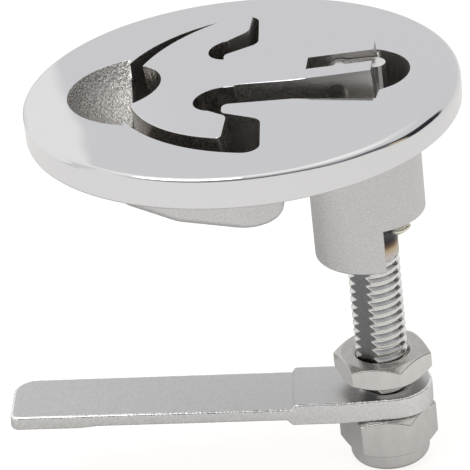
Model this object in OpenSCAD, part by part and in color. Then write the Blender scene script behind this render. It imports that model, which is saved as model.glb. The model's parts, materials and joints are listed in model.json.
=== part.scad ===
// Flush pull latch: a polished round flange with a T-shaped pull handle that lies in a
// cast recess, a spindle that hangs below it in a boss, and a cam arm on the spindle's end.
// Millimetres. The origin is at the flange's centre, on its back face, which seats on the
// deck. +Z points out of the deck and +X from the finger scoop towards the boss.

/* [Flange] */
// Diameter of the round flange
flange_d = 63.5; // [58:0.5:78]
// Thickness of the flange at its rim
flange_t = 4.65; // [3.8:0.05:6]
// Rounding of the flange's top edge
face_round = 1.6; // [0.4:0.1:2]
// Rounding of the flange's back edge
back_round = 0.4; // [0.1:0.1:0.8]
// Distance from the flange's centre to the spindle's axis
spindle_x = 16.7; // [15:0.1:18]
// Distance from the flange's rim to the centres of the four fixing holes
fixing_edge = 3.75; // [2.8:0.05:4.2]
// Tapping-drill diameter of the fixing holes
fixing_d = 3.3; // [2.5:0.1:4.2]
// Depth of the fixing holes from the back
fixing_depth = 3.4; // [2:0.1:3.4]

/* [Boss] */
// Outer diameter of the boss
boss_d = 16.9; // [15:0.1:20]
// Length of the boss below the flange's back
boss_len = 24.3; // [18:0.05:32]
// Diameter of the round mouth that the hinge swings in
mouth_d = 15.7; // [15.3:0.1:17]
// Depth of the mouth below the face
mouth_depth = 8.8; // [8.4:0.1:10]
// Height of the stop notch at the boss's bottom end
notch_h = 6.85; // [4:0.05:8]
// Distance from the spindle's axis to the notch's wall
notch_x = 1.9; // [1:0.1:2.1]

/* [Recess] */
// Gap between the handle's curved edge and the recess's wall
recess_gap = 1.4; // [1.2:0.1:2]
// Centre of the recess's curved wall, from the flange's centre
recess_cx = 6; // [5:0.1:7]
// Room under the handle's head
floor_gap = 2.6; // [2:0.1:3.4]
// Room on each side of the stem at the fork
channel_gap = 2; // [1.4:0.1:2.3]
// Metal under the recess and round the hinge's mouth
recess_wall = 2.4; // [1.8:0.1:2.8]
// Metal round the head's part of the recess, on the underside
shell_wall = 5; // [3:0.1:5.4]
// Radius of the finger scoop where it meets the face
scoop_r = 11.9; // [10:0.1:12]
// Distance from the recess's straight end to the scoop's centre
scoop_in = 3.2; // [2.5:0.1:4]
// Depth of the scoop at its deepest
scoop_depth = 7.5; // [5:0.1:7.8]

/* [Handle] */
// Radius of the handle's curved outer edge
head_r = 23.2; // [22.4:0.1:23.4]
// Thickness of the handle's head
head_t = 4.6; // [3.6:0.1:5]
// Thickness of the stem behind the hinge
stem_t = 4.2; // [3.4:0.1:4.6]
// Half width of the stem at the head
stem_half = 4.1; // [3.4:0.1:4.6]
// Half width of the stem at the fork
fork_half = 5.3; // [4.6:0.1:5.5]
// Radius of the finger notch in the head
notch_r = 8; // [6.5:0.1:9]
// Rounding of the handle's lower edges
handle_round = 1; // [0.6:0.1:1.2]

/* [Hinge] */
// Distance from the spindle's axis to the hinge pin
pin_back = 2.3; // [1.8:0.1:2.6]
// Depth of the pin's centre below the handle's top
pin_drop = 3; // [2.7:0.1:3.2]
// Diameter of the hinge pin
pin_d = 3; // [2:0.1:3.2]
// Thickness of the spindle's tongue
tongue_t = 3.6; // [3:0.1:4]
// Gap on each side of the tongue in the fork
slot_gap = 0.2; // [0.1:0.05:0.4]
// Radial running gap of the pin in the tongue
pin_gap = 0.05; // [0.02:0.01:0.08]

/* [Spindle] */
// Diameter of the plain shank
shank_d = 8.2; // [7.6:0.1:9]
// Radial running gap of the shank in the boss
shank_gap = 0.05; // [0.02:0.01:0.09]
// Outer diameter of the thread
thread_d = 7.92; // [6.5:0.02:8]
// Distance from the axis to each of the rod's two flats
flat_half = 3.4; // [3:0.05:3.8]
// Length of rod below the boss while the spindle is seated
rod_len = 37.8; // [32:0.05:52]
// How far the spindle can rise before its lug meets the notch's roof
end_play = 2.1; // [1:0.1:2.4]

/* [Nuts and cam arm] */
// Width of both nuts across their flats
nut_af = 12.7; // [12:0.1:14]
// Thickness of the jam nut
jam_t = 3.65; // [3:0.05:5]
// Free rod between the jam nut and the arm
jam_gap = 1.95; // [0.5:0.05:4]
// Thickness of the arm's hub
hub_t = 3.6; // [2.4:0.1:4.5]
// Width of the arm's hub
hub_w = 11.8; // [10.5:0.1:16]
// Reach of the arm from the spindle's axis
arm_len = 57; // [45:0.5:80]
// Thickness of the arm's blade
blade_t = 1.95; // [1.4:0.05:3]
// Width of the blade at its tip
tip_w = 11.4; // [8:0.1:12]
// Rise of the arm from the bend beside the nuts to its tip
arm_rise = 2.9; // [0:0.1:6]
// Height of the lock nut with its collar
lock_h = 9.1; // [7:0.1:11]

/* [Rest pose] */
// How far the spindle stands up out of its seated place, no more than its end play
raise = 2.1; // [0:0.1:2.1]
// Turn of the grip away from the recess's centre line
yaw = -5; // [-5:0.5:5]
// Tilt of the grip, head end down
pitch = -4.5; // [-6:0.5:0]

/* [Hidden] */
$fn = 64;
eps = 0.02;

// Flange and recess
fixing_r = flange_d / 2 - fixing_edge;
head_x = 6.9;
tip_gap = 0.2;
recess_r = head_r + recess_gap;
recess_depth = head_t + floor_gap;
recess_left = head_x - head_r - tip_gap;
recess_right = 3;
recess_right_far = 2.5;
channel_half = fork_half + channel_gap;
scoop_x = recess_left + scoop_in;
recess_corner = 2.2;
recess_blend = 1.1;
nub_x = -2.6;
nub_y = 10.2;
shoulder_y = 13.4;
shell_corner = 5;
shell_round = 1.5;
shell_end_angle = 102.5;
shell_depth = recess_depth + recess_wall - flange_t;
collar_r = mouth_d / 2 + recess_wall;
collar_blend = 1.5;
scoop_sphere_r = (scoop_r * scoop_r + scoop_depth * scoop_depth) / (2 * scoop_depth);
strip_len = 13.4;
strip_start_x = 6.2;
strip_turn = 11.5;
strip_tilt = 14;
boss_chamfer = 0.25;

// Handle, in its own frame: the hinge axis runs along Y through the origin, the head lies
// towards -X and the top face is level
pin_r = pin_d / 2;
knuckle_r = 2.5;
fork_end = 5.2;
slot_end = -4.4;
slot_half = tongue_t / 2 + slot_gap;
hinge_x = spindle_x - pin_back;
head_cx = head_x - hinge_x;
head_end = -0.3 - hinge_x;
far_end = head_end + 0.3;
far_tip_y = sqrt(head_r * head_r - (far_end - head_cx) * (far_end - head_cx));
tip_cut = 1.6;
notch_cx = head_x - head_r - 3.3 - hinge_x;
crook_r = 3.9;
crook_far_r = 3.6;
crook_x = -1.9 - hinge_x;
crook_y = 8.7;
wing_y = 14.6;
flare_x = -6.4;
handle_corner = 0.7;

// Spindle, in its own frame: the axis runs along Z through the origin, and Z is the height
// above the flange's back while the spindle is seated
stand = min(raise, end_play);
seat_z = flange_t - pin_drop;
pin_z = seat_z - 0.1;
tongue_top = pin_z + 2.1;
tongue_r = 2.3;
tongue_nose = 4.4;
shank_top = pin_z - 6.4;
shank_end = -boss_len + 2;
rod_end = -boss_len - rod_len;
rod_chamfer = 0.7;
flat_angle = 55;
flats_top = -boss_len - 0.2;
lug_angle = -42;
lug_w = 2.2;
lug_h = 2.2;
lug_reach = boss_d / 2 - 0.85;
lug_gap = 0.08;
lug_top = -boss_len + notch_h - end_play - lug_gap;
arm_angle = 185;

// Stack on the rod, from its end upwards
lock_bottom = rod_end + 0.4;
hub_bottom = lock_bottom + lock_h;
hub_top = hub_bottom + hub_t;
jam_bottom = hub_top + jam_gap;
nut_bore_r = thread_d / 2 + 0.02;
nut_corner_r = nut_af / sqrt(3);
nut_face_r = nut_af / 2 - 0.25;
jam_turn = -4.4;
lock_turn = 1.9;
lock_hex_h = 6.2;
collar_nut_r = nut_af / 2 - 0.45;
insert_r = thread_d / 2 + 1.04;
insert_h = 2;
lip_h = 0.5;

// Cam arm, in its own frame: the axis runs along Z through the origin and the blade along +X
hub_start = -7.2;
hub_end = 14.7;
bend_x = 6.6;
bend_angle = atan(arm_rise / (arm_len - bend_x));
step_down = 0.8;
pad_len = 11;
pad_t = 0.25;
tip_round = 2.2;
hole_gap = 0.08;

// A disc whose bottom edge, top edge or both are rounded
module rounded_disc(r, h, bottom_r, top_r) {
    rotate_extrude()
        difference() {
            square([r, h]);
            translate([r - bottom_r, 0])
                corner_cut(bottom_r);
            translate([r - top_r, h])
                mirror([0, 1])
                    corner_cut(top_r);
        }
}

// What a rounding of radius r takes off a square corner
module corner_cut(r) {
    difference() {
        translate([0, -eps])
            square([r + eps, r + eps]);
        translate([0, r])
            circle(r = r);
    }
}

// Outline of the near half of the recess, with square corners
module recess_half(right) {
    intersection() {
        translate([recess_cx, 0])
            circle(r = recess_r, $fn = 120);
        polygon([
            [recess_left, 0],
            [recess_left, -recess_r],
            [right, -recess_r],
            [right, -shoulder_y],
            [nub_x, -nub_y],
            [nub_x, -channel_half],
            [spindle_x, -channel_half - 0.4],
            [spindle_x, 0]
        ]);
    }
}

// Outline of the recess, its outer corners and its blends rounded
module recess_outline() {
    offset(r = -recess_blend)
        offset(delta = recess_blend)
            offset(r = recess_corner)
                offset(delta = -recess_corner) {
                    recess_half(recess_right);
                    mirror([0, 1])
                        recess_half(recess_right_far);
                }
}

// Hollows in the face: the handle's recess, the round mouth and the finger scoop
module face_hollows() {
    translate([0, 0, flange_t - recess_depth])
        linear_extrude(recess_depth + 1)
            recess_outline();
    translate([spindle_x, 0, flange_t - mouth_depth])
        cylinder(h = mouth_depth + 1, d = mouth_d);
    intersection() {
        translate([scoop_x, 0, flange_t - scoop_depth + scoop_sphere_r])
            sphere(r = scoop_sphere_r);
        translate([recess_left - scoop_r, -scoop_r - 1, flange_t - scoop_depth])
            cube([scoop_r + eps, 2 * scoop_r + 2, scoop_depth + 1]);
    }
}

// Ground strip beside the channel, falling gently towards it
module ground_strip() {
    translate([strip_start_x, -channel_half, flange_t])
        rotate([0, 0, -strip_turn])
            rotate([-strip_tilt, 0, 0])
                cube([strip_len, 6, 4]);
}

// Shell under the head's part of the recess
module head_shell() {
    reach = recess_r + shell_wall - shell_corner;
    hull()
        for (i = [0:8])
            let (a = shell_end_angle + i * (360 - 2 * shell_end_angle) / 8)
            translate([recess_cx + reach * cos(a), reach * sin(a), -shell_depth])
                rounded_disc(shell_corner, shell_depth, shell_round, 0, $fn = 32);
}

// Everything that hangs from the flange's back: shells, collar and boss
module underside() {
    head_shell();
    translate([scoop_x, 0, -shell_depth])
        rounded_disc(scoop_r + recess_wall, shell_depth + eps, shell_round, 0);
    translate([0, -channel_half - recess_wall, -shell_depth])
        cube([spindle_x, 2 * (channel_half + recess_wall), shell_depth + eps]);
    translate([spindle_x, 0, -shell_depth])
        rounded_disc(collar_r, shell_depth + eps, shell_round, 0);
    translate([spindle_x, 0, -shell_depth - collar_blend])
        cylinder(h = collar_blend, r1 = boss_d / 2, r2 = boss_d / 2 + collar_blend);
    translate([spindle_x, 0, -boss_len])
        cylinder(h = boss_chamfer, d1 = boss_d - 2 * boss_chamfer, d2 = boss_d);
    translate([spindle_x, 0, -boss_len + boss_chamfer])
        cylinder(h = boss_len - boss_chamfer, d = boss_d);
}

// Step cut across the boss's end, in which the lug on the spindle turns
module stop_notch() {
    translate([spindle_x + notch_x, -boss_d, -boss_len - 1])
        cube([boss_d, 2 * boss_d, notch_h + 1]);
}

// Blind tapped holes in the flange's back
module fixing_holes() {
    for (a = [45:90:315])
        rotate([0, 0, a])
            translate([fixing_r, 0, -1])
                cylinder(h = fixing_depth + 1, d = fixing_d);
}

module flange_casting() {
    color("gainsboro")
        difference() {
            union() {
                rounded_disc(flange_d / 2, flange_t, back_round, face_round, $fn = 180);
                underside();
            }
            face_hollows();
            ground_strip();
            mirror([0, 1])
                ground_strip();
            translate([spindle_x, 0, -boss_len - 1])
                cylinder(h = boss_len + flange_t, d = shank_d + 2 * shank_gap);
            stop_notch();
            fixing_holes();
        }
}

// Places the spindle's frame as the latch rests
module at_spindle() {
    translate([spindle_x, 0, stand])
        rotate([0, 0, yaw])
            children();
}

// Places the handle's frame on the hinge pin
module at_hinge() {
    at_spindle()
        translate([-pin_back, 0, pin_z])
            rotate([0, pitch, 0])
                children();
}

// A bar along the hinge's axis
module cross_bar(r, length) {
    rotate([90, 0, 0])
        cylinder(h = length, r = r, center = true);
}

// Outline of the handle from above, with square corners
module handle_sharp() {
    difference() {
        union() {
            intersection() {
                translate([head_cx, 0])
                    circle(r = head_r, $fn = 90);
                polygon([
                    [-2 * head_r, -head_r],
                    [head_end, -head_r],
                    [head_end, 0],
                    [far_end, 0],
                    [far_end, far_tip_y - tip_cut],
                    [far_end - tip_cut - head_r + far_tip_y, head_r],
                    [-2 * head_r, head_r]
                ]);
            }
            polygon([
                [crook_x - crook_r, -stem_half],
                [crook_x, -stem_half],
                [flare_x, -fork_half],
                [0, -fork_half],
                [fork_end, -fork_half + 0.1],
                [fork_end, fork_half - 0.1],
                [0, fork_half],
                [flare_x, fork_half],
                [crook_x, stem_half],
                [crook_x - crook_r, stem_half]
            ]);
        }
        translate([notch_cx, 0])
            circle(r = notch_r);
        crook(crook_far_r);
        mirror([0, 1])
            crook(crook_r);
    }
}

// Gap between the stem and one wing of the head, its rounded end of radius r
module crook(r) {
    translate([crook_x, crook_y])
        circle(r = r);
    polygon([
        [crook_x, crook_y - r],
        [crook_x + 6, crook_y - r + 0.3],
        [crook_x + 6, wing_y + 2.8],
        [head_end - 0.2, wing_y],
        [crook_x - 1.2, crook_y + r - 0.2]
    ]);
}

// Outline of the handle from above
module handle_outline() {
    offset(r = -handle_corner, $fn = 24)
        offset(delta = handle_corner)
            handle_sharp($fn = 40);
}

// Cuts off the lower corner of an edge that runs along Y at the origin and faces +X
module edge_bevel(length) {
    rotate([0, 45, 0])
        cube([2 * handle_round, length, 2 * sqrt(0.5) * handle_round], center = true);
}

// Blank of the handle: its lower edges bevelled along the curved edge and the wing ends
module handle_blank() {
    difference() {
        intersection() {
            linear_extrude(head_t)
                handle_outline();
            translate([head_cx, 0, 0])
                rotate_extrude($fn = 120)
                    polygon([
                        [0, -eps],
                        [head_r - handle_round - eps, -eps],
                        [head_r + eps, handle_round],
                        [head_r + eps, head_t + eps],
                        [0, head_t + eps]
                    ]);
        }
        translate([head_end, -wing_y - 4.2, 0])
            edge_bevel(9);
        translate([far_end, wing_y + 4.2, 0])
            edge_bevel(9);
    }
}

module pull_handle() {
    color("silver")
        at_hinge()
            difference() {
                union() {
                    translate([0, 0, pin_drop - head_t])
                        handle_blank();
                    cross_bar(knuckle_r, 2 * fork_half - 0.4);
                }
                translate([crook_x + 2, -fork_half - 1, pin_drop - head_t - 1])
                    cube([-crook_x - 2 - knuckle_r, 2 * fork_half + 2, head_t - stem_t + 1]);
                translate([slot_end, -slot_half, -2 * knuckle_r])
                    cube([fork_end - slot_end + 1, 2 * slot_half, 4 * knuckle_r]);
                cross_bar(pin_r, 4 * fork_half);
            }
}

module hinge_pin() {
    color("dimgray")
        at_hinge()
            cross_bar(pin_r, 2 * fork_half - 0.3);
}

// Side view of the spindle's tongue, rounded about the hinge
module tongue_profile() {
    translate([-pin_back, pin_z])
        circle(r = tongue_r);
    polygon([
        [-pin_back - tongue_r, pin_z],
        [-pin_back, pin_z],
        [-pin_back, tongue_top],
        [tongue_nose, tongue_top - 0.3],
        [tongue_nose, shank_top - eps],
        [-shank_d / 2, shank_top - eps],
        [-shank_d / 2, pin_z - 4]
    ]);
}

// Tongue that the fork straddles, with a round nose towards +X
module tongue() {
    intersection() {
        rotate([90, 0, 0])
            linear_extrude(2 * tongue_t, center = true)
                tongue_profile();
        union() {
            translate([-2 * tongue_nose, -tongue_t / 2, shank_top - 1])
                cube([3 * tongue_nose - tongue_t / 2, tongue_t, 20]);
            translate([tongue_nose - tongue_t / 2, 0, shank_top - 1])
                cylinder(h = 20, d = tongue_t);
        }
    }
}

// Threaded rod with two flats, its thread left plain
module flatted_rod() {
    intersection() {
        translate([0, 0, rod_end])
            union() {
                cylinder(h = rod_chamfer, d1 = thread_d - 2 * rod_chamfer, d2 = thread_d);
                translate([0, 0, rod_chamfer])
                    cylinder(h = flats_top - rod_end - rod_chamfer, d = thread_d);
            }
        rotate([0, 0, flat_angle])
            translate([-flat_half, -thread_d, rod_end])
                cube([2 * flat_half, 2 * thread_d, flats_top - rod_end]);
    }
}

module spindle() {
    color("lightsteelblue")
        at_spindle() {
            difference() {
                union() {
                    tongue();
                    translate([0, 0, shank_end])
                        cylinder(h = shank_top - shank_end, d = shank_d);
                    translate([0, 0, flats_top])
                        cylinder(h = shank_end - flats_top, d = thread_d);
                    flatted_rod();
                }
                translate([-pin_back, 0, pin_z])
                    cross_bar(pin_r + pin_gap, 2 * tongue_t);
            }
        }
}

module stop_lug() {
    color("goldenrod")
        at_spindle()
            rotate([0, 0, lug_angle])
                difference() {
                    translate([0, -lug_w / 2, lug_top - lug_h])
                        intersection() {
                            cube([lug_reach, lug_w, lug_h]);
                            translate([0, lug_w / 2, 0])
                                cylinder(h = lug_h, r = lug_reach);
                        }
                    translate([0, 0, lug_top - lug_h - 1])
                        cylinder(h = lug_h + 2, d = shank_d);
                }
}

// Six-sided nut blank with chamfered corners
module nut_blank(h, turn) {
    outer_r = nut_corner_r + 0.3;
    chamfer_h = (outer_r - nut_face_r) * tan(30);
    intersection() {
        rotate([0, 0, turn])
            cylinder(h = h, r = nut_corner_r, $fn = 6);
        rotate_extrude()
            polygon([
                [0, 0],
                [nut_face_r, 0],
                [outer_r, chamfer_h],
                [outer_r, h - chamfer_h],
                [nut_face_r, h],
                [0, h]
            ]);
    }
}

module jam_nut() {
    color("lightgray")
        at_spindle()
            translate([0, 0, jam_bottom])
                difference() {
                    nut_blank(jam_t, jam_turn);
                    translate([0, 0, -1])
                        cylinder(h = jam_t + 2, r = nut_bore_r);
                    translate([0, 0, jam_t - 0.5])
                        cylinder(h = 0.5 + eps, r1 = nut_bore_r, r2 = nut_bore_r + 0.5);
                }
}

// Plan of the arm from its hub to the end asked for
module arm_plan(x0, w0, x1, w1, end_r) {
    offset(r = end_r)
        offset(delta = -end_r)
            polygon([[x0, -w0 / 2], [x1, -w1 / 2], [x1, w1 / 2], [x0, w0 / 2]]);
}

// Level part of the hub between the nuts, round at its free end
module arm_hub() {
    translate([hub_start + hub_w / 2, 0, 0])
        cylinder(h = hub_t, d = hub_w);
    translate([hub_start + hub_w / 2, -hub_w / 2, 0])
        cube([bend_x + eps - hub_start - hub_w / 2, hub_w, hub_t]);
}

// Rest of the hub and the thinner blade, one straight strip that rises from the bend
module arm_strip() {
    root = hub_end - bend_x - 1;
    reach = arm_len - bend_x;
    translate([bend_x, 0, 0])
        rotate([0, -bend_angle, 0]) {
            translate([0, -hub_w / 2, 0])
                cube([hub_end - bend_x, hub_w, hub_t]);
            translate([0, 0, hub_t - step_down - blade_t]) {
                linear_extrude(blade_t)
                    arm_plan(root, hub_w - 0.4, reach, tip_w, tip_round);
                translate([0, 0, -pad_t])
                    linear_extrude(pad_t + eps)
                        arm_plan(reach - pad_len, tip_w, reach, tip_w, tip_round);
            }
        }
}

module cam_arm() {
    color("darkgray")
        at_spindle()
            translate([0, 0, hub_bottom])
                difference() {
                    rotate([0, 0, arm_angle])
                        union() {
                            arm_hub();
                            arm_strip();
                        }
                    rotate([0, 0, flat_angle])
                        intersection() {
                            translate([0, 0, -1])
                                cylinder(h = hub_t + 2, d = thread_d + 2 * hole_gap);
                            translate([-flat_half - hole_gap, -thread_d, -1])
                                cube([2 * (flat_half + hole_gap), 2 * thread_d, hub_t + 2]);
                        }
                }
}

module lock_nut() {
    color("lightgray")
        at_spindle()
            translate([0, 0, lock_bottom])
                difference() {
                    union() {
                        translate([0, 0, lock_h - lock_hex_h])
                            nut_blank(lock_hex_h, lock_turn);
                        rounded_disc(collar_nut_r, lock_h - lock_hex_h + 0.5, 1.5, 0);
                    }
                    translate([0, 0, -1])
                        cylinder(h = lock_h + 2, r = nut_bore_r);
                    translate([0, 0, lip_h])
                        cylinder(h = insert_h, r = insert_r);
                }
}

module nylon_insert() {
    color("white")
        at_spindle()
            translate([0, 0, lock_bottom + lip_h])
                difference() {
                    cylinder(h = insert_h, r = insert_r);
                    translate([0, 0, -1])
                        cylinder(h = insert_h + 2, d = thread_d);
                }
}

flange_casting();
pull_handle();
hinge_pin();
spindle();
stop_lug();
jam_nut();
cam_arm();
lock_nut();
nylon_insert();
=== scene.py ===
# %% [markdown]
# # A flush pull latch, finished in Blender
#
# The CAD model holds every size of this latch: a polished round flange with a cast recess, a
# T-shaped pull handle, a spindle in a boss, and a cam arm between two nuts. This script gives it
# the surfaces of the real one. Polished steel shows nothing but its surroundings, so the room
# that it reflects matters as much as the metal itself, and it is made first.

# %% Load the frame
import json
import math

import bmesh
import bpy
from mathutils import Matrix, Vector, noise
from mathutils.bvhtree import BVHTree


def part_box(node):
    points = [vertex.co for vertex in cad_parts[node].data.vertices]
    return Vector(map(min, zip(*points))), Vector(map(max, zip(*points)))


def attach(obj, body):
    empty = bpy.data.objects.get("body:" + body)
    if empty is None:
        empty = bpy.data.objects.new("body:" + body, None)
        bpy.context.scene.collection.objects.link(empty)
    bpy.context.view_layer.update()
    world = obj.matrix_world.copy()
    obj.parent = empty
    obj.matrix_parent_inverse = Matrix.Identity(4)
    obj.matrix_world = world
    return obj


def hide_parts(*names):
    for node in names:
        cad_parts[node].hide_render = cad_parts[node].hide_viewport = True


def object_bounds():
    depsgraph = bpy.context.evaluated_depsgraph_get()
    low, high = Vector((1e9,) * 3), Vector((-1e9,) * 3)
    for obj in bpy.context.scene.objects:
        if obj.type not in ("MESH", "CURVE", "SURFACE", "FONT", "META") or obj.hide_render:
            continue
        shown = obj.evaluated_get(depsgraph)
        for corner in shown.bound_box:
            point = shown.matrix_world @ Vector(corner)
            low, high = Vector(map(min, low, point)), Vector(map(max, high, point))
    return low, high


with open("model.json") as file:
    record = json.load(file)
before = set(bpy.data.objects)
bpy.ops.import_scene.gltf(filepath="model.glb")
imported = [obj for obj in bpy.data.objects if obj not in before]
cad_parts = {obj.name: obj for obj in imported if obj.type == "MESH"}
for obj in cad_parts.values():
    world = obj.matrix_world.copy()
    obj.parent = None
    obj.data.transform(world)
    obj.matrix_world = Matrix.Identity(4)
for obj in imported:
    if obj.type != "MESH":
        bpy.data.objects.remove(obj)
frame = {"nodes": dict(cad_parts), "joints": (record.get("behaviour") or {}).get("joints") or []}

MM = 0.001
noise.seed_set(11)       # without a seed the noise starts from the clock and each run differs
cad_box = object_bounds()
joints = {joint["name"]: joint for joint in frame["joints"]}
spindle_axis = Vector(joints["spindle_turn"]["pos_m"])
face_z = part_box("flange_casting")[1].z
print("nodes:", ", ".join(sorted(frame["nodes"])))
print("face of the flange at", round(face_z / MM, 2), "mm")

# %% [markdown]
# ## The camera
#
# The photograph was taken from a little above the flange with a long lens, from almost straight
# in front and with the camera leaning a few degrees. A camera can be placed by eye, or worked
# out from known sizes. Here the ellipses of the flange, the boss and the nuts gave the angles,
# the distance and the focal length, so the render can be laid over the photograph.

# %% Place the camera
camera_azimuth = math.radians(4.022)
camera_elevation = math.radians(26.833)
camera_roll = math.radians(-6.696)
camera_distance = 421.306
camera_shift_right = -0.747
camera_shift_up = -22.152
focal_pixels = 2921.196
picture_pixels = 470
sensor_width = 36

back = Vector((
    math.sin(camera_azimuth) * math.cos(camera_elevation),
    -math.cos(camera_azimuth) * math.cos(camera_elevation),
    math.sin(camera_elevation),
))
level_right = Vector((math.cos(camera_azimuth), math.sin(camera_azimuth), 0))
level_up = back.cross(level_right)
right = level_right * math.cos(camera_roll) + level_up * math.sin(camera_roll)
up = level_up * math.cos(camera_roll) - level_right * math.sin(camera_roll)
place = back * camera_distance + right * camera_shift_right + up * camera_shift_up

camera_data = bpy.data.cameras.new("camera")
camera_data.sensor_width = sensor_width
camera_data.lens = focal_pixels / picture_pixels * sensor_width
camera_data.clip_start = 0.01
camera = bpy.data.objects.new("camera", camera_data)
turn = Matrix((right, up, back)).transposed().to_4x4()
camera.matrix_world = Matrix.Translation(place * MM + Vector((0, 0, face_z))) @ turn
bpy.context.scene.collection.objects.link(camera)
bpy.context.scene.camera = camera
bpy.context.scene.view_settings.view_transform = "Standard"
print("lens", round(camera_data.lens, 1), "mm")

# %% [markdown]
# ## Small helpers for node trees
#
# Every material is a tree of nodes. Placing and wiring them takes many lines, so three short
# helpers do it: one adds a node and sets its sockets, one adds a math node, and one adds a
# node that turns one range of numbers into another. They work in a material, in the world and
# in a shared group alike.

# %% Define the node helpers
def add(tree, kind, inputs=None, **settings):
    """Adds a node, sets its properties, and sets or wires its inputs."""
    node = tree.nodes.new(kind)
    for name, value in settings.items():
        setattr(node, name, value)
    for name, value in (inputs or {}).items():
        socket = node.inputs[name]
        if isinstance(value, bpy.types.NodeSocket):
            tree.links.new(value, socket)
        else:
            socket.default_value = value
    return node


def calc(tree, operation, first, second=0.0, third=0.0):
    """Adds a math node and returns its result."""
    node = add(tree, "ShaderNodeMath", {0: first, 1: second, 2: third}, operation=operation)
    return node.outputs[0]


def ease(tree, value, low, high, to_low=0.0, to_high=1.0):
    """Maps low..high to to_low..to_high with soft ends, and returns the result."""
    node = add(
        tree, "ShaderNodeMapRange",
        {"Value": value, "From Min": low, "From Max": high, "To Min": to_low, "To Max": to_high},
        interpolation_type="SMOOTHSTEP",
    )
    return node.outputs["Result"]


def blend_colors(tree, factor, first, second):
    """Mixes two colours by factor and returns the result."""
    node = tree.nodes.new("ShaderNodeMix")
    node.data_type = "RGBA"
    for index, value in ((0, factor), (6, first), (7, second)):
        if isinstance(value, bpy.types.NodeSocket):
            tree.links.new(value, node.inputs[index])
        else:
            node.inputs[index].default_value = value
    return node.outputs[2]


def grey(value, warmth=0.0):
    """A grey, a little warmer or cooler."""
    return (value * (1 + warmth), value, value * (1 - warmth), 1)


print("helpers: add, calc, ease, blend_colors, grey")

# %% [markdown]
# ## The room
#
# A mirror finish has no colour of its own: the pale grey of the flange is the studio's wall seen
# in it, the white patch at its left edge is a soft box, and the dark streaks along the rim are
# the unlit front of the room. Lamps alone leave such metal black. A world made of soft patches,
# each a direction and an angle, gives it something to reflect. What the camera sees directly
# stays plain white.

# %% Build the world
def direction(azimuth, elevation):
    """Unit vector at an azimuth from +X and an elevation, in degrees."""
    a, e = math.radians(azimuth), math.radians(elevation)
    return Vector((math.cos(a) * math.cos(e), math.sin(a) * math.cos(e), math.sin(e)))


def soft_patch(tree, ray, aim, inner, outer, squash=1.0):
    """Mask that is 1 within inner degrees of a direction and 0 past outer degrees."""
    flat = add(tree, "ShaderNodeVectorMath", {0: ray, 1: (1, 1, squash)}, operation="MULTIPLY")
    unit = add(tree, "ShaderNodeVectorMath", {0: flat.outputs[0]}, operation="NORMALIZE")
    goal = Vector((aim.x, aim.y, aim.z * squash)).normalized()
    dot = add(tree, "ShaderNodeVectorMath", {0: unit.outputs[0], 1: goal}, operation="DOT_PRODUCT")
    edge, core = math.cos(math.radians(outer)), math.cos(math.radians(inner))
    return ease(tree, dot.outputs["Value"], edge, core)


world = bpy.data.worlds.new("room")
bpy.context.scene.world = world
world.use_nodes = True
room = world.node_tree
room.nodes.clear()
ray = add(room, "ShaderNodeTexCoord").outputs["Generated"]

wall_grey = (0.735, 0.735, 0.75, 1)
patches = (
    (direction(0, 90), 30, 52, 1.0, (1.05, 1.05, 1.03, 1)),
    (direction(132, 24), 26, 31, 1.0, (0.93, 0.93, 0.915, 1)),
    (direction(-140, 20), 20, 45, 1.0, (0.95, 0.94, 0.92, 1)),
    (direction(-85, 7), 30, 62, 5.0, (0.20, 0.205, 0.22, 1)),
    (direction(-16, 11), 20, 27, 1.7, (0.16, 0.16, 0.175, 1)),
    (direction(13, 7), 15, 21, 1.2, (0.03, 0.033, 0.04, 1)),
    (direction(-4, 5), 3, 8, 1.0, (0.62, 0.50, 0.33, 1)),
)
color = wall_grey
for aim, inner, outer, squash, patch_color in patches:
    mask = soft_patch(room, ray, aim, inner, outer, squash)
    color = blend_colors(room, mask, color, patch_color)

path = add(room, "ShaderNodeLightPath").outputs
surround = add(room, "ShaderNodeBackground", {"Color": color, "Strength": 1.0})
plain_white = add(room, "ShaderNodeBackground", {"Color": (1, 1, 1, 1), "Strength": 1.0})
seen = add(room, "ShaderNodeMixShader", {
    0: path["Is Camera Ray"], 1: surround.outputs[0], 2: plain_white.outputs[0]})
add(room, "ShaderNodeOutputWorld", {"Surface": seen.outputs[0]})
print("world patches:", len(patches))

# %% [markdown]
# ## The floor and one lamp
#
# The latch was photographed on white paper that the light washed out. A pale floor under the
# lock nut catches a faint shadow, which shows where the object stands. Adding a little of its
# own light to what the camera sees of it makes the paper white while the shadow stays. The metal
# sees it duller, with a painted shadow: its glow is dimmed in a disc under the flange, which
# greys the left of the boss and the nuts. One large lamp overhead gives the shadow a direction.

# %% Lay the floor and hang the lamp
floor_z = cad_box[0].z
floor_mesh = bpy.data.meshes.new("floor")
bm = bmesh.new()
bmesh.ops.create_grid(bm, x_segments=1, y_segments=1, size=3)
bmesh.ops.translate(bm, vec=(0, 0, floor_z), verts=bm.verts)
bm.to_mesh(floor_mesh)
bm.free()
floor = bpy.data.objects.new("floor", floor_mesh)
bpy.context.scene.collection.objects.link(floor)

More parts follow.
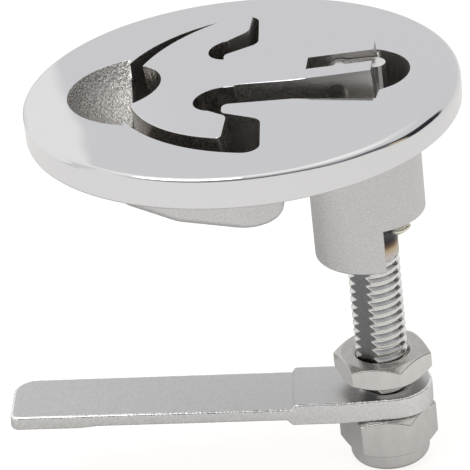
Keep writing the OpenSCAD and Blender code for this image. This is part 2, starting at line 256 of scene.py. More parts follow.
paper = bpy.data.materials.new("paper")
paper.use_nodes = True
tree = paper.node_tree
tree.nodes.clear()
path = add(tree, "ShaderNodeLightPath").outputs
shown = calc(tree, "MAXIMUM", path["Is Camera Ray"],
             calc(tree, "MAXIMUM", path["Is Glossy Ray"], path["Is Transmission Ray"]))
matt = add(tree, "ShaderNodeBsdfDiffuse", {"Color": grey(0.8, 0.01)})
part_matt = add(tree, "ShaderNodeBsdfDiffuse", {"Color": grey(0.24, 0.01)})
spot = add(tree, "ShaderNodeTexCoord").outputs["Object"]
# Painted shadow: the glow that the metal sees is dimmed in a disc under the flange.
from_painted_shadow = add(tree, "ShaderNodeVectorMath", {0: spot, 1: (-0.034, 0.036, floor_z)},
                 operation="DISTANCE").outputs["Value"]
metal_glow_with_painted_shadow = ease(tree, from_painted_shadow, 0.03, 0.105, 0.18, 0.605)
strength = calc(tree, "MAXIMUM", metal_glow_with_painted_shadow, calc(tree, "MULTIPLY", path["Is Camera Ray"], 0.87))
own_light = add(tree, "ShaderNodeEmission", {"Color": (1, 0.985, 0.968, 1), "Strength": strength})
washed = add(tree, "ShaderNodeAddShader", {0: part_matt.outputs[0], 1: own_light.outputs[0]})
mixed = add(tree, "ShaderNodeMixShader", {0: shown, 1: matt.outputs[0], 2: washed.outputs[0]})
add(tree, "ShaderNodeOutputMaterial", {"Surface": mixed.outputs[0]})
floor_mesh.materials.append(paper)

lamp_data = bpy.data.lights.new("soft_box", "AREA")
lamp_data.shape = "DISK"
lamp_data.size = 0.5
lamp_data.energy = 2.0
lamp = bpy.data.objects.new("soft_box", lamp_data)
lamp_place = Vector((-0.25, -0.25, 0.6))
lamp.matrix_world = Matrix.Translation(lamp_place) @ lamp_place.to_track_quat("Z", "Y").to_matrix().to_4x4()
bpy.context.scene.collection.objects.link(lamp)
print("floor at", round(floor_z / MM, 2), "mm")

# %% [markdown]
# ## Shared grain
#
# Cast, blasted, ground and tumbled metal differ in the size and depth of their grain, not in its
# kind. So one group makes a fine grain from two layers of noise, and each material places it
# with its own size and depth. It works in millimetres on the piece's own coordinates, so the
# grain stays put when the latch moves. It gives a height for a bump and a mask that varies gloss.

# %% Build the grain group
def new_group(name, inputs, outputs):
    """An empty node group with named sockets; returns the group, its inputs and its output node."""
    group = bpy.data.node_groups.new(name, "ShaderNodeTree")
    for label, kind, value in inputs:
        socket = group.interface.new_socket(label, in_out="INPUT", socket_type=kind)
        if value is not None:
            socket.default_value = value
    for label in outputs:
        group.interface.new_socket(label, in_out="OUTPUT", socket_type="NodeSocketFloat")
    source = group.nodes.new("NodeGroupInput")
    return group, source.outputs, group.nodes.new("NodeGroupOutput")


grain_group, given, result = new_group(
    "metal grain",
    (("Place", "NodeSocketVector", None), ("Size mm", "NodeSocketFloat", 0.3),
     ("Depth mm", "NodeSocketFloat", 0.02), ("Stretch", "NodeSocketVector", (1, 1, 1))),
    ("Height mm", "Mask"),
)
in_mm = add(grain_group, "ShaderNodeVectorMath", {0: given["Place"]}, operation="SCALE")
in_mm.inputs["Scale"].default_value = 1000
stretched = add(grain_group, "ShaderNodeVectorMath",
                {0: in_mm.outputs[0], 1: given["Stretch"]}, operation="MULTIPLY").outputs[0]
pace = calc(grain_group, "DIVIDE", 1.0, given["Size mm"])
coarse = add(grain_group, "ShaderNodeTexNoise",
             {"Vector": stretched, "Scale": pace, "Detail": 2.0, "Roughness": 0.6})
fine = add(grain_group, "ShaderNodeTexNoise",
           {"Vector": stretched, "Scale": calc(grain_group, "MULTIPLY", pace, 3.7), "Detail": 1.0})
both = calc(grain_group, "MULTIPLY_ADD", fine.outputs["Fac"], 0.35, coarse.outputs["Fac"])
grain_group.links.new(calc(grain_group, "MULTIPLY", both, given["Depth mm"]), result.inputs["Height mm"])
grain_group.links.new(ease(grain_group, coarse.outputs["Fac"], 0.35, 0.65), result.inputs["Mask"])
print("group:", grain_group.name)

# %% [markdown]
# ## Metal materials
#
# All finishes here are bare stainless steel, so each material is a metallic surface with its own
# grey, its own gloss and its own grain. A helper makes that base and hands back the tree, so
# that a finish can add what is special to it, such as turning rings or heat colours.

# %% Define the metal maker
def metal(name, color, rough, grain_mm, depth_mm, rough_change=0.0, stretch=(1, 1, 1), fleck=0.0):
    """A metal with grain; returns the material, its tree and the nodes that finishes change."""
    material = bpy.data.materials.new(name)
    material.use_nodes = True
    tree = material.node_tree
    tree.nodes.clear()
    place = add(tree, "ShaderNodeTexCoord").outputs["Object"]
    grain = add(tree, "ShaderNodeGroup", node_tree=grain_group)
    tree.links.new(place, grain.inputs["Place"])
    grain.inputs["Size mm"].default_value = grain_mm
    grain.inputs["Depth mm"].default_value = depth_mm
    grain.inputs["Stretch"].default_value = stretch
    bump = add(tree, "ShaderNodeBump", {"Height": grain.outputs["Height mm"], "Distance": MM})
    darker = tuple(channel * (1 - fleck) for channel in color[:3]) + (1,)
    lighter = tuple(min(1, channel * (1 + fleck)) for channel in color[:3]) + (1,)
    tone = blend_colors(tree, grain.outputs["Mask"], darker, lighter)
    shader = add(tree, "ShaderNodeBsdfPrincipled", {
        "Base Color": tone, "Metallic": 1.0, "Normal": bump.outputs[0]})
    roughness = ease(tree, grain.outputs["Mask"], 0, 1, rough - rough_change, rough + rough_change)
    tree.links.new(roughness, shader.inputs["Roughness"])
    add(tree, "ShaderNodeOutputMaterial", {"Surface": shader.outputs[0]})
    parts = {"place": place, "grain": grain, "bump": bump, "shader": shader, "tone": tone}
    return material, tree, parts


def millimetres(tree, place):
    """Splits a place into its x, y and z in millimetres."""
    scaled = add(tree, "ShaderNodeVectorMath", {0: place}, operation="SCALE")
    scaled.inputs["Scale"].default_value = 1000
    return add(tree, "ShaderNodeSeparateXYZ", {0: scaled.outputs[0]}).outputs


print("maker: metal")

# %% [markdown]
# ## The mirror polish
#
# The face was polished on a soft wheel, which rolls over the flange's left edge and leaves it
# leaning a few degrees. A lean that small doesn't show as a shape, but it shows another part of
# the room: the soft box, with a wavy border where the lean begins. A bump does this better than
# the mesh, because only the direction of the surface matters here.

# %% Make the mirror polish
mirror, mirror_tree, mirror_parts = metal(
    "mirror polish", (0.765, 0.765, 0.775, 1), 0.06, 2.5, 0.0004, rough_change=0.015)
x_mm, y_mm, z_mm = millimetres(mirror_tree, mirror_parts["place"])
waver = add(mirror_tree, "ShaderNodeTexNoise",
            {"Vector": mirror_parts["place"], "Scale": 130.0, "Detail": 0.0}).outputs["Fac"]
lean_start = calc(mirror_tree, "MULTIPLY_ADD", y_mm, 0.20, 22.9)
lean_start = calc(mirror_tree, "MULTIPLY_ADD", waver, 2.0, lean_start)
past_start = calc(mirror_tree, "SUBTRACT", calc(mirror_tree, "MULTIPLY", x_mm, -1.0), lean_start)
past_start = calc(mirror_tree, "MAXIMUM", past_start, 0.0)
lean = calc(mirror_tree, "MULTIPLY", calc(mirror_tree, "MULTIPLY", past_start, past_start), -0.021)
only_face = ease(mirror_tree, z_mm, 3.6, 4.4)
lean = calc(mirror_tree, "MULTIPLY", lean, only_face)
both = calc(mirror_tree, "ADD", lean, mirror_parts["grain"].outputs["Height mm"])
mirror_tree.links.new(both, mirror_parts["bump"].inputs["Height"])
print("leaning polish begins about 22 mm left of the centre")

# %% [markdown]
# ## The cast and blasted skins
#
# A lost-wax casting has the skin of its ceramic mould: a fine, sparkling roughness. The scoop
# and the recess keep it as it came, and the underside was blasted with glass beads to an even
# grey. The walls of the recess are dark because they mirror each other, and their darker metal
# is partly dirt and partly painted shade for the deep recess. The scoop's colour has a painted
# shade towards its far left end.

# %% Make the cast and blasted skins
scoop_skin, scoop_tree, scoop_parts = metal(
    "rough cast scoop", (0.66, 0.645, 0.62, 1), 0.25, 0.40, 0.17, rough_change=0.08, fleck=0.28)
x_mm = millimetres(scoop_tree, scoop_parts["place"])[0]
# Painted shade: the scoop's colour darkens towards its far left end, below x = -26 mm.
out_of_painted_shade = ease(scoop_tree, x_mm, -26.0, -15.5, 0.0, 1.0)
painted_shade = blend_colors(scoop_tree, out_of_painted_shade, (0.60, 0.59, 0.58, 1), (1, 1, 1, 1))
shaded = add(scoop_tree, "ShaderNodeVectorMath", {0: scoop_parts["tone"], 1: painted_shade},
             operation="MULTIPLY").outputs[0]
scoop_tree.links.new(shaded, scoop_parts["shader"].inputs["Base Color"])
# The recess metal is darker partly for dirt and partly as painted shade for the deep recess.
recess_skin, recess_tree, recess_parts = metal(
    "rough cast recess", (0.42, 0.405, 0.39, 1), 0.38, 0.24, 0.035, rough_change=0.1, fleck=0.06)
side_skin, side_tree, side_parts = metal(
    "ground handle side", (0.44, 0.41, 0.385, 1), 0.27, 0.7, 0.002, rough_change=0.04, fleck=0.05)
blasted, blast_tree, blast_parts = metal(
    "bead-blasted underside", (0.69, 0.685, 0.68, 1), 0.42, 0.26, 0.028, rough_change=0.06, fleck=0.10)
print("cast and blasted skins made")

# %% [markdown]
# ## The steel of the small parts
#
# The nuts were turned from bar, which leaves fine rings on their flat ends, and then tumbled to
# a satin. The arm was stamped and tumbled, with coarse bright edges. The shank was welded to
# its lug, and the heat coloured it: black at the weld, then brown, then straw further down. The
# black under the boss, on the shank and at the lug's inner end, is partly this tint and partly
# painted shade.

# %% Make the nuts' satin and its turning rings
satin, satin_tree, satin_parts = metal(
    "satin nuts", (0.745, 0.73, 0.71, 1), 0.24, 1.6, 0.0012, rough_change=0.03, fleck=0.03,
    stretch=(1, 1, 0.4))
turned, turned_tree, turned_parts = metal(
    "turned nut ends", (0.55, 0.532, 0.515, 1), 0.26, 1.2, 0.004, rough_change=0.05, fleck=0.05)
x_mm, y_mm, z_mm = millimetres(turned_tree, turned_parts["place"])
across = calc(turned_tree, "SUBTRACT", x_mm, spindle_axis.x / MM)
radius_mm = calc(turned_tree, "SQRT", calc(turned_tree, "ADD", calc(turned_tree, "MULTIPLY", across, across),
                                           calc(turned_tree, "MULTIPLY", y_mm, y_mm)))
rings = add(turned_tree, "ShaderNodeTexNoise",
            {"W": calc(turned_tree, "MULTIPLY", radius_mm, 3.2), "Scale": 1.0, "Detail": 2.0},
            noise_dimensions="1D").outputs["Fac"]
ring_height = calc(turned_tree, "MULTIPLY_ADD", rings, 0.016,
                   turned_parts["grain"].outputs["Height mm"])
turned_tree.links.new(ring_height, turned_parts["bump"].inputs["Height"])
print("satin and turned ends made")

# %% Make the arm's tumbled metal and its rough edges
tumbled, tumbled_tree, tumbled_parts = metal(
    "tumbled arm", (0.63, 0.625, 0.62, 1), 0.38, 0.5, 0.006, rough_change=0.05, fleck=0.05)
worn_edge, worn_tree, worn_parts = metal(
    "worn arm edge", (0.93, 0.92, 0.90, 1), 0.28, 0.42, 0.05, rough_change=0.12, fleck=0.2,
    stretch=(1, 0.5, 0.5))
# Painted light: the arm's sheared sides get a lighter copy of its steel than the top.
arm_side_painted_lighter, arm_side_tree, arm_side_parts = metal(
    "sheared arm side", (0.82, 0.815, 0.80, 1), 0.36, 0.5, 0.010, rough_change=0.05, fleck=0.06)
print("arm metals made")

# %% Make the spindle's metals
machined, machined_tree, machined_parts = metal(
    "machined thread", (0.88, 0.87, 0.85, 1), 0.2, 0.3, 0.016, rough_change=0.08)
# Painted shade: the flats get a near-black steel, which draws their dark bands.
flat_with_painted_shade, flat_tree, flat_parts = metal(
    "ground flat", (0.25, 0.25, 0.255, 1), 0.32, 0.35, 0.006, rough_change=0.05, fleck=0.06,
    stretch=(1, 1, 0.3))
tinted, tinted_tree, tinted_parts = metal(
    "weld bead", (0.78, 0.74, 0.63, 1), 0.16, 0.45, 0.05, rough_change=0.08, fleck=0.15)
x_mm = millimetres(tinted_tree, tinted_parts["place"])[0]
# Near black close to the shank: partly weld tint and partly painted shade under the boss.
out_of_tint_and_shade = ease(tinted_tree, x_mm, spindle_axis.x / MM + 2.9, spindle_axis.x / MM + 4.1)
tinted_tree.links.new(
    blend_colors(tinted_tree, out_of_tint_and_shade, (0.07, 0.065, 0.065, 1), tinted_parts["tone"]),
    tinted_parts["shader"].inputs["Base Color"])
shank_steel, shank_tree, shank_parts = metal(
    "heat-tinted shank", (0.64, 0.62, 0.59, 1), 0.3, 0.4, 0.006, rough_change=0.06)
z_mm = millimetres(shank_tree, shank_parts["place"])[2]
# The black band near the top, under the boss, is partly weld tint and partly painted shade.
heat_and_shade = add(shank_tree, "ShaderNodeMapRange",
           {"Value": z_mm, "From Min": -25.8, "From Max": -19.3, "To Min": 0.0, "To Max": 1.0})
colors = add(shank_tree, "ShaderNodeValToRGB", {"Fac": heat_and_shade.outputs["Result"]})
steps = ((0.0, (0.62, 0.61, 0.59)), (0.26, (0.60, 0.56, 0.50)), (0.40, (0.52, 0.40, 0.26)),
         (0.50, (0.16, 0.10, 0.07)), (0.60, (0.05, 0.045, 0.05)), (0.85, (0.09, 0.09, 0.10)))
for index, (spot, shade) in enumerate(steps):
    stop = colors.color_ramp.elements[index] if index < 2 else colors.color_ramp.elements.new(spot)
    stop.position = spot
    stop.color = (*shade, 1)
shank_tree.links.new(colors.outputs["Color"], shank_parts["shader"].inputs["Base Color"])
print("spindle metals made")

# %% [markdown]
# ## Copies of the CAD nodes
#
# The imported CAD meshes have the right shape, but their edges are knife-sharp, and real edges
# never are: a thin bright line of reflected light runs along each. A CAD mesh mustn't change, so
# a copy is merged, its flat faces are made whole, and its edges are bevelled. The CAD node is
# then hidden. The CAD node then only stands for collision.

# %% Define the copy, the bevel and the finishing step
def merged_copy(node):
    """A bmesh of a CAD node with its loose triangles joined and its flat faces made whole."""
    bm = bmesh.new()
    bm.from_mesh(frame["nodes"][node].data)
    bmesh.ops.remove_doubles(bm, verts=bm.verts, dist=1e-6)
    bmesh.ops.dissolve_limit(bm, angle_limit=math.radians(0.5), verts=bm.verts, edges=bm.edges)
    for face in bm.faces:
        face.material_index = 0
    return bm


def soften(bm, radius, angle=35, segments=2, where=None):
    """Bevels the edges sharper than angle degrees and returns the new faces."""
    edges = [
        edge for edge in bm.edges
        if edge.is_manifold and edge.calc_face_angle(0) > math.radians(angle)
        and (where is None or where(edge))
    ]
    made = bmesh.ops.bevel(
        bm, geom=edges, offset=radius * MM, offset_type="OFFSET", segments=segments,
        profile=0.5, affect="EDGES", clamp_overlap=False, loop_slide=False, material=-1)
    return made["faces"]


def finish_piece(bm, name, materials, body, nodes, smooth=32):
    """Makes the object of a piece, hangs it on its body and hides the CAD nodes that it replaces."""
    mesh = bpy.data.meshes.new(name)
    bm.to_mesh(mesh)
    bm.free()
    for material in materials:
        mesh.materials.append(material)
    mesh.shade_smooth()
    mesh.set_sharp_from_angle(angle=math.radians(smooth))
    piece = bpy.data.objects.new(name, mesh)
    bpy.context.scene.collection.objects.link(piece)
    normals = piece.modifiers.new("face normals", "WEIGHTED_NORMAL")
    normals.keep_sharp = True
    normals.weight = 90
    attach(piece, body)
    if nodes:
        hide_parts(*nodes)
    print(name, len(mesh.polygons), "faces")
    return piece


# %% [markdown]
# ## The flange casting
#
# One stainless casting: its face and rim are polished to a mirror, its underside is bead-blasted,
# and the recess keeps the dark rough skin of the mould. The finish changes at edges, so each face
# is sorted by where it lies. A ray straight up from a face of the recess leaves the casting
# through its opening, while one from the underside hits the flange. The wheel rounded the rim
# more on the right and the far side than in front, so the rounding shrinks towards its corner
# there.

# %% Sort the casting's faces
MIRROR, RECESS, SCOOP, BLASTED = 0, 1, 2, 3
flange_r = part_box("flange_casting")[1].x
scoop_edge_x = -16.4 * MM
rim_round = 1.6 * MM
bm = merged_copy("flange_casting")
skin = BVHTree.FromBMesh(bm)
for face in bm.faces:
    middle = face.calc_center_median()
    start = middle + face.normal * 0.05 * MM
    blocked = skin.ray_cast(start, Vector((0, 0, 1)))[0] is not None
    radius = math.hypot(middle.x, middle.y)
    if middle.z > 0.2 * MM and radius > flange_r - rim_round:
        face.material_index = MIRROR
    elif face.normal.z > 0.95 and middle.z > face_z - 2 * MM:
        face.material_index = MIRROR
    elif blocked or middle.z < -7 * MM or radius > flange_r - rim_round:
        face.material_index = BLASTED
    else:
        face.material_index = SCOOP if middle.x < scoop_edge_x else RECESS
print("faces by finish:", [sum(f.material_index == i for f in bm.faces) for i in range(4)])

# %% Round the rim unevenly and soften the edges
rim_shares = ((-180, 0.75), (-150, 0.5), (-130, 0.36), (-80, 0.36), (-58, 0.6), (-38, 1.15),
              (-18, 1.35), (10, 1.0), (90, 1.0), (150, 0.9), (180, 0.75))


def rim_share(azimuth):
    """How much of the CAD rounding the rim keeps at an azimuth, in degrees."""
    for (start, low), (end, high) in zip(rim_shares, rim_shares[1:]):
        if azimuth <= end:
            part = (azimuth - start) / (end - start)
            return low + (high - low) * part * part * (3 - 2 * part)
    return rim_shares[-1][1]


for vert in bm.verts:
    radius = math.hypot(vert.co.x, vert.co.y)
    if radius < flange_r - rim_round - 0.01 * MM or vert.co.z < face_z - rim_round - 0.01 * MM:
        continue
    keep = rim_share(math.degrees(math.atan2(vert.co.y, vert.co.x)))
    new_radius = flange_r - (flange_r - radius) * keep
    vert.co.x *= new_radius / radius
    vert.co.y *= new_radius / radius
    vert.co.z = face_z - (face_z - vert.co.z) * keep


def clear_of_strips(edge):
    """True for an edge that isn't beside the ground strips, where the CAD mesh has slivers."""
    middle = (edge.verts[0].co + edge.verts[1].co) / 2
    beside = 5 * MM < middle.x < 21 * MM and 5.5 * MM < abs(middle.y) < 10.5 * MM
    on_rim = math.hypot(middle.x, middle.y) > flange_r - rim_round - 0.1 * MM
    return not (beside and middle.z > face_z - 3 * MM) and not (on_rim and middle.z > 1 * MM)


soften(bm, 0.1, where=clear_of_strips)
finish_piece(bm, "casting", (mirror, recess_skin, scoop_skin, blasted), "flange",
             ["flange_casting"])

# %% [markdown]
# ## The pull handle
#
# The handle lies in the recess with its top just under the flange's face. Its top was polished
# together with the flange, and its sides keep the cast skin. Its edges are broken more than the
# recess's, because fingers touch them.

# %% Make the handle
bm = merged_copy("pull_handle")
top_face = max((face for face in bm.faces if face.normal.z > 0.9), key=lambda f: f.calc_area())
top_normal = top_face.normal.copy()
stem_x = -1 * MM
for face in bm.faces:
    if face.normal.dot(top_normal) > 0.999:
        face.material_index = 0
    elif face.normal.dot(top_normal) < -0.9:
        face.material_index = 3
    else:
        face.material_index = 1 if face.calc_center_median().x < stem_x else 2
wing_corners = [
    edge for edge in bm.edges
    if edge.is_manifold and edge.calc_face_angle(0) > math.radians(50)
    and abs((edge.verts[1].co - edge.verts[0].co).normalized().dot(top_normal)) > 0.99
    and edge.calc_length() > 1.5 * MM and edge.verts[0].co.x < 4 * MM
    and abs(edge.verts[0].co.y) > 13 * MM]
corner_spots = [edge.verts[0].co.copy() for edge in wing_corners]
beside = [
    edge for edge in bm.edges
    if edge not in wing_corners and edge.is_manifold and edge.calc_length() > 1.5 * MM
    and abs((edge.verts[1].co - edge.verts[0].co).normalized().dot(top_normal)) > 0.99
    and min(((edge.verts[0].co - spot) * Vector((1, 1, 0))).length for spot in corner_spots) < 1.2 * MM]
bmesh.ops.dissolve_edges(bm, edges=beside, use_verts=True)
bmesh.ops.bevel(bm, geom=wing_corners, offset=0.9 * MM, offset_type="OFFSET", segments=6,
                profile=0.5, affect="EDGES", clamp_overlap=False, material=-1)
print("wing corners rounded:", len(wing_corners))
stem_cut = 9.5 * MM
bmesh.ops.bisect_plane(bm, geom=bm.verts[:] + bm.edges[:] + bm.faces[:], dist=1e-7,
                       plane_co=(stem_cut, 0, 0), plane_no=(1, 0, 0))


def long_enough(edge):
    """True for an edge that the bevel can follow: not a sliver, and not at the knuckle."""
    return (edge.calc_length() > 0.12 * MM
            and max(vert.co.x for vert in edge.verts) < stem_cut + 0.01 * MM)


soften(bm, 0.12, where=long_enough)
finish_piece(bm, "handle", (mirror, side_skin, recess_skin, blasted), "handle",
             ["pull_handle"])

# %% [markdown]
# ## The two nuts
#
# The upper nut is thin and holds the arm's place on the thread, and the lower one has a ring of
# nylon in a rounded collar. Their flats are satin, and their ends show the turning rings, so the
# faces are sorted by their direction before the edges are softened.

# %% Make the nuts
for node, name in (("jam_nut", "thin_nut"), ("lock_nut", "collar_nut")):
    bm = merged_copy(node)
    for face in bm.faces:
        face.material_index = 1 if abs(face.normal.z) > 0.4 else 0
    for vert in bm.verts:
        off_axis = Vector((vert.co.x - spindle_axis.x, vert.co.y, 0))
        if off_axis.length > 5.2 * MM:
            vert.co += off_axis * 0.025
    soften(bm, 0.14, angle=25, segments=3)
    finish_piece(bm, name, (satin, turned), "spindle", [node])

# %% [markdown]
# ## The cam arm
#
# The arm was stamped from thick strip: a hub with a round end and a hole that fits the rod's
# flats, a bend beside the nuts, and a thinner blade that steps down from the hub. It could be
# cut from a block, but here its plan is drawn flat, rounded at its corners, filled round the
# hole and raised. Cuts across it at the bend, the steps and the pad then let each part be moved
# to its height.

# %% Draw the arm's plan and raise it
lock_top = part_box("lock_nut")[1].z
hub_t, blade_t, pad_t, step_down = 3.6, 1.95, 0.28, 0.8
hub_start, hub_end, bend_x, arm_len = -7.2, 14.7, 6.6, 57.0
hub_half, tip_half = 5.9, 5.75
bend_angle = math.atan(2.9 / (arm_len - bend_x))
hole_r, flat_half = 4.04, 3.48

bm = bmesh.new()
corners = [bm.verts.new((x, y, 0)) for x, y in (
    (hub_start, -hub_half), (hub_end, -hub_half), (arm_len, -tip_half),
    (arm_len, tip_half), (hub_end, hub_half), (hub_start, hub_half))]
plan = bm.faces.new(corners)
for chosen, radius, segments in (((0, 5), 5.85, 14), ((2,), 3.6, 10), ((3,), 1.3, 6)):
    bmesh.ops.bevel(bm, geom=[corners[i] for i in chosen], offset=radius, offset_type="OFFSET",
                    segments=segments, profile=0.5, affect="VERTICES", clamp_overlap=True,
                    material=-1)
bmesh.ops.delete(bm, geom=bm.faces[:], context="FACES_ONLY")
across_flats = Vector((math.cos(math.radians(-130)), math.sin(math.radians(-130)), 0))
for vert in bmesh.ops.create_circle(bm, segments=56, radius=hole_r)["verts"]:
    out = vert.co.dot(across_flats)
    vert.co += across_flats * (max(-flat_half, min(flat_half, out)) - out)
bmesh.ops.triangle_fill(bm, use_beauty=True, use_dissolve=False, edges=bm.edges[:])
bmesh.ops.dissolve_limit(bm, angle_limit=0.01, verts=bm.verts[:], edges=bm.edges[:])
raised = bmesh.ops.extrude_face_region(bm, geom=bm.faces[:])["geom"]
bmesh.ops.translate(bm, vec=(0, 0, hub_t),
                    verts=[item for item in raised if isinstance(item, bmesh.types.BMVert)])
bmesh.ops.recalc_face_normals(bm, faces=bm.faces[:])
print("arm blank:", len(bm.faces), "faces, open edges:",
      sum(not edge.is_manifold for edge in bm.edges))

# %% Cut it across, step it, bend it
pad_start, pad_full = 43.9, 46.4
cuts = [bend_x, hub_end - 0.9, hub_end - 0.4, hub_end + 0.5, hub_end + 0.9, pad_start, pad_full]
cuts += [hub_end + 1.3 * i for i in range(1, 32) if min(abs(hub_end + 1.3 * i - c) for c in cuts) > 0.4]
cuts += [8.2, 9.8, 11.4, 13.0]
for cut in cuts:
    bmesh.ops.bisect_plane(bm, geom=bm.verts[:] + bm.edges[:] + bm.faces[:], dist=1e-4,
                           plane_co=(cut, 0, 0), plane_no=(1, 0, 0))
for vert in bm.verts:
    x, top = vert.co.x, vert.co.z > hub_t / 2
    if top and x > hub_end - 0.95:
        vert.co.z = hub_t - step_down * min(1.0, (x - hub_end + 0.9) / 0.5)
    elif not top and x > hub_end + 0.5:
        thicker = pad_t * max(0.0, min(1.0, (x - pad_start) / (pad_full - pad_start)))
        vert.co.z = hub_t - step_down - blade_t - thicker
beyond = [vert for vert in bm.verts if vert.co.x > bend_x + 0.01]
bmesh.ops.rotate(bm, verts=beyond, cent=(bend_x, 0, 0), matrix=Matrix.Rotation(-bend_angle, 3, "Y"))
print("arm rises", round(math.degrees(bend_angle), 1), "degrees")

# %% Roughen its edges and put it in place
bmesh.ops.scale(bm, vec=(MM, MM, MM), verts=bm.verts[:])
for face in bm.faces:
    face.material_index = 0 if abs(face.normal.z) > 0.4 else 2


def worn(edge):
    """True for an edge of the arm's outline, not of its hole or of the step across it."""
    first, second = (vert.co for vert in edge.verts)
    across = abs((second - first).normalized().y) > 0.9
    at_step = abs(first.x / MM - hub_end) < 1.6
    return first.length > 4.5 * MM and not (across and at_step)


rough_faces = soften(bm, 0.38, segments=3, where=worn)
for face in rough_faces:
    face.material_index = 1
for vert in {vert for face in rough_faces for vert in face.verts}:
    vert.co += noise.noise_vector(vert.co * 900) * 0.018 * MM
bmesh.ops.rotate(bm, verts=bm.verts[:], cent=(0, 0, 0), matrix=Matrix.Rotation(math.pi, 3, "Z"))
bmesh.ops.translate(bm, verts=bm.verts[:], vec=(spindle_axis.x, 0, lock_top))
finish_piece(bm, "arm", (tumbled, worn_edge, arm_side_painted_lighter), "spindle", ["cam_arm"])

# %% [markdown]
# ## The spindle
#
# The spindle is one piece: a tongue for the hinge, a shank that turns in the boss, and a rod with
# a rolled thread and two ground flats. The tongue and shank come from the CAD copy. A thread can
# be drawn as a bump, but its teeth show at the outline, so it is a real one: the outline of one
# tooth is spun round the axis while it climbs by the pitch. The flats then cut through the
# crests, and their dark bands, a painted shade in near-black steel, run unbroken from end to end.

# %% Spin the thread
thread_top, rod_end = -24.75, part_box("spindle")[0].z / MM
pitch, crest_r, root_r, steps_per_turn = 1.35, 3.955, 3.55, 44
tooth = ((root_r, 0.0), (root_r + 0.03, 0.14), (crest_r - 0.05, 0.52), (crest_r, 0.60),
         (crest_r, 0.72), (crest_r - 0.05, 0.80), (root_r + 0.03, 1.20), (root_r, pitch))
turns = math.ceil((thread_top - rod_end) / pitch) + 2
bm = bmesh.new()
line = [bm.verts.new((r, 0, z)) for r, z in tooth]
line += [bm.edges.new(pair) for pair in zip(line, line[1:])]
bmesh.ops.spin(bm, geom=line, cent=(0, 0, 0), axis=(0, 0, 1), dvec=(0, 0, pitch / steps_per_turn),
               angle=math.tau * turns, steps=steps_per_turn * turns, use_merge=False)
bmesh.ops.remove_doubles(bm, verts=bm.verts[:], dist=1e-4)
bmesh.ops.translate(bm, verts=bm.verts[:], vec=(0, 0, rod_end - 1.5 * pitch))


def cut_and_cap(bm, point, outward):
    """Cuts away what lies outward of a plane through a point, and caps the opening."""
    bmesh.ops.bisect_plane(bm, geom=bm.verts[:] + bm.edges[:] + bm.faces[:], dist=1e-6,
                           plane_co=point, plane_no=outward, clear_outer=True)
    rim = [edge for edge in bm.edges if edge.is_boundary]
    return bmesh.ops.holes_fill(bm, edges=rim, sides=0)["faces"]


bmesh.ops.bisect_plane(bm, geom=bm.verts[:] + bm.edges[:] + bm.faces[:], dist=1e-6,
                       plane_co=(0, 0, thread_top), plane_no=(0, 0, 1), clear_outer=True)
cut_and_cap(bm, (0, 0, rod_end), (0, 0, -1))
bmesh.ops.recalc_face_normals(bm, faces=bm.faces[:])
for vert in bm.verts:
    limit = crest_r - 0.75 + (vert.co.z - rod_end)
    radius = math.hypot(vert.co.x, vert.co.y)
    if radius > limit and radius > 0.1:
        vert.co.x *= limit / radius
        vert.co.y *= limit / radius
flat_faces = []
for side in (1, -1):
    outward = Vector((math.cos(math.radians(50)), math.sin(math.radians(50)), 0)) * side
    flat_faces += cut_and_cap(bm, outward * 3.4, outward)
for face in flat_faces:
    face.material_index = 2
bmesh.ops.scale(bm, vec=(MM, MM, MM), verts=bm.verts[:])
bmesh.ops.translate(bm, verts=bm.verts[:], vec=(spindle_axis.x, 0, 0))
print("thread:", turns, "turns,", len(bm.faces), "faces, open edges:",
      sum(not edge.is_manifold for edge in bm.edges))
thread_mesh = bpy.data.meshes.new("thread")
bm.to_mesh(thread_mesh)
bm.free()

# %% Join the thread to the shank and the tongue
bm = merged_copy("spindle")
bmesh.ops.bisect_plane(bm, geom=bm.verts[:] + bm.edges[:] + bm.faces[:], dist=1e-7,
                       plane_co=(0, 0, (thread_top - 0.03) * MM), plane_no=(0, 0, -1),
                       clear_outer=True)
bmesh.ops.holes_fill(bm, edges=[edge for edge in bm.edges if edge.is_boundary], sides=0)
for face in bm.faces:
    on_shank = face.calc_center_median().z < -4 * MM
    face.material_index = 1 if on_shank else 0 if face.normal.z > 0.75 else 3
for vert in bm.verts:
    if vert.co.z > 4.5 * MM:
        vert.co.z += 0.4 * MM * max(0.0, min(1.0, (vert.co.x / MM - 15) / 4))
soften(bm, 0.14, where=lambda edge: max(vert.co.z for vert in edge.verts) < -3 * MM)
bm.from_mesh(thread_mesh)
bpy.data.meshes.remove(thread_mesh)
finish_piece(bm, "rod", (machined, shank_steel, flat_with_painted_shade, recess_skin), "spindle",
             ["spindle"], smooth=40)

# %% [markdown]
# ## The stop lug
#
# The lug that stops the turn is little more than a bead of weld on the shank, lumpy, golden and
# bright. It starts as the CAD block with its edges rounded away, and noise moves its points a
# few tenths of a millimetre, as a weld never freezes flat.

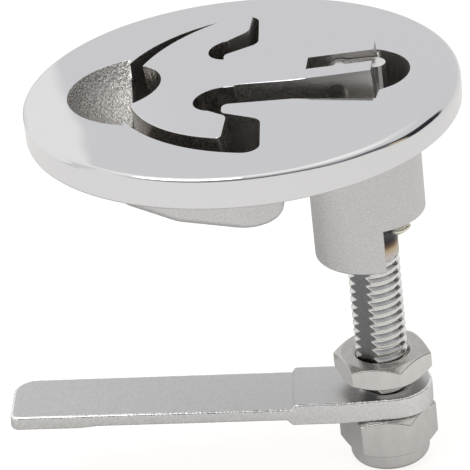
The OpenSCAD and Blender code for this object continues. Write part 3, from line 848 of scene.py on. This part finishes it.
# %% Make the lug
bm = merged_copy("stop_lug")
bmesh.ops.subdivide_edges(bm, edges=bm.edges[:], cuts=5, use_grid_fill=True)
for _ in range(18):
    bmesh.ops.smooth_vert(bm, verts=bm.verts[:], factor=0.5, use_axis_x=True, use_axis_y=True,
                          use_axis_z=True)
lug_middle = sum((vert.co for vert in bm.verts), Vector()) / len(bm.verts)
half = [max(abs(vert.co[i] - lug_middle[i]) for vert in bm.verts) for i in range(3)]
for vert in bm.verts:
    part = Vector([(vert.co[i] - lug_middle[i]) / half[i] for i in range(3)])
    part = part.lerp(part.normalized(), 0.75)
    vert.co = lug_middle + Vector([part[i] * half[i] for i in range(3)])
bmesh.ops.scale(bm, vec=(1.35, 1.35, 1.4), verts=bm.verts[:], space=Matrix.Translation(-lug_middle))
inward = (spindle_axis - lug_middle) * Vector((1, 1, 0))
bmesh.ops.translate(bm, vec=inward.normalized() * 0.45 * MM, verts=bm.verts[:])
for vert in bm.verts:
    vert.co += noise.noise_vector(vert.co * 700) * 0.16 * MM
bmesh.ops.recalc_face_normals(bm, faces=bm.faces[:])
finish_piece(bm, "lug", (tinted,), "spindle", ["stop_lug"], smooth=80)

# %% [markdown]
# ## The CAD nodes that stay
#
# The hinge pin and the nylon ring have the right shape already, so they keep their CAD meshes
# and only get a material. Nylon is milky and a little soft in its gloss, with a fine moulded
# grain.

# %% Give the remaining nodes their materials
nylon = bpy.data.materials.new("nylon ring")
nylon.use_nodes = True
tree = nylon.node_tree
tree.nodes.clear()
place = add(tree, "ShaderNodeTexCoord").outputs["Object"]
grain = add(tree, "ShaderNodeGroup", {"Size mm": 0.5, "Depth mm": 0.02}, node_tree=grain_group)
tree.links.new(place, grain.inputs["Place"])
bump = add(tree, "ShaderNodeBump", {"Height": grain.outputs["Height mm"], "Distance": MM})
milky = blend_colors(tree, grain.outputs["Mask"], (0.74, 0.74, 0.70, 1), (0.82, 0.82, 0.78, 1))
gloss = ease(tree, grain.outputs["Mask"], 0, 1, 0.38, 0.5)
shader = add(tree, "ShaderNodeBsdfPrincipled", {
    "Base Color": milky, "Roughness": gloss, "Normal": bump.outputs[0]})
add(tree, "ShaderNodeOutputMaterial", {"Surface": shader.outputs[0]})
for node, material in (("hinge_pin", satin), ("nylon_insert", nylon)):
    mesh = frame["nodes"][node].data
    mesh.materials.clear()
    mesh.materials.append(material)
    print(node, "keeps its CAD mesh")
